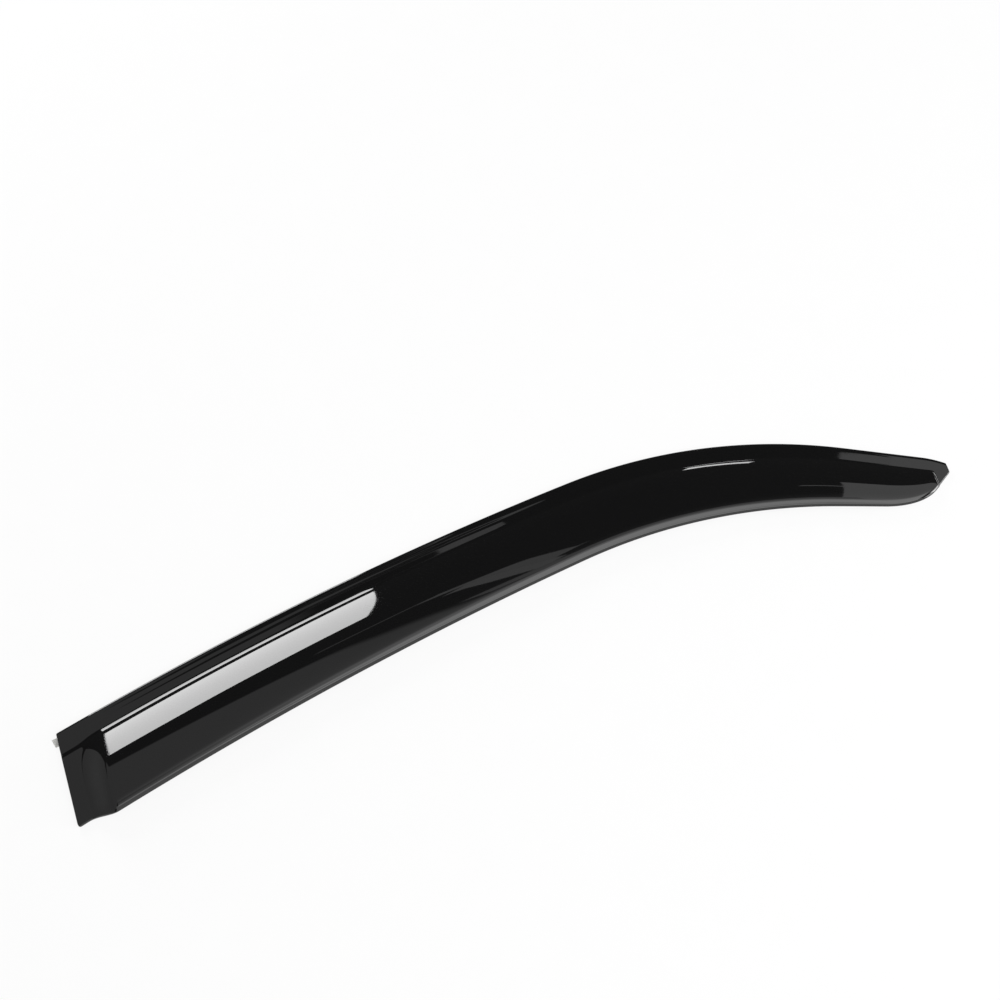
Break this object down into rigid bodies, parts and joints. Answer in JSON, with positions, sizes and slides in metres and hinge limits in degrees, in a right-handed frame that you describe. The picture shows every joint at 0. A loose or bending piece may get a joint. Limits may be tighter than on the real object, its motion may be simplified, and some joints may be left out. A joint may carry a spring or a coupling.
{
  "type": "window rain deflector",
  "caption": "Long arched smoked-acrylic strip with a taped top flange, raised body and rolled free lip, bonded above a rear side window to shed rain.",
  "frame": {"origin": "on the release film's outer face, on the centre line of the top tape, under the crown of the window arch", "axes": "+X along the door from front to rear, +Y up the door, +Z away from the door"},
  "size_m": [0.7033, 0.1487, 0.0181],
  "materials": {
    "smoked_acrylic": "high gloss, dark smoke",
    "foam_tape": "matte acrylic foam",
    "release_film": "satin film"
  },
  "bodies": {
    "root": {"deflector_shell": "smoked_acrylic", "top_edge_tape": "foam_tape", "top_edge_liner": "release_film", "end_tape": "foam_tape", "end_liner": "release_film"}
  },
  "joints": []
}
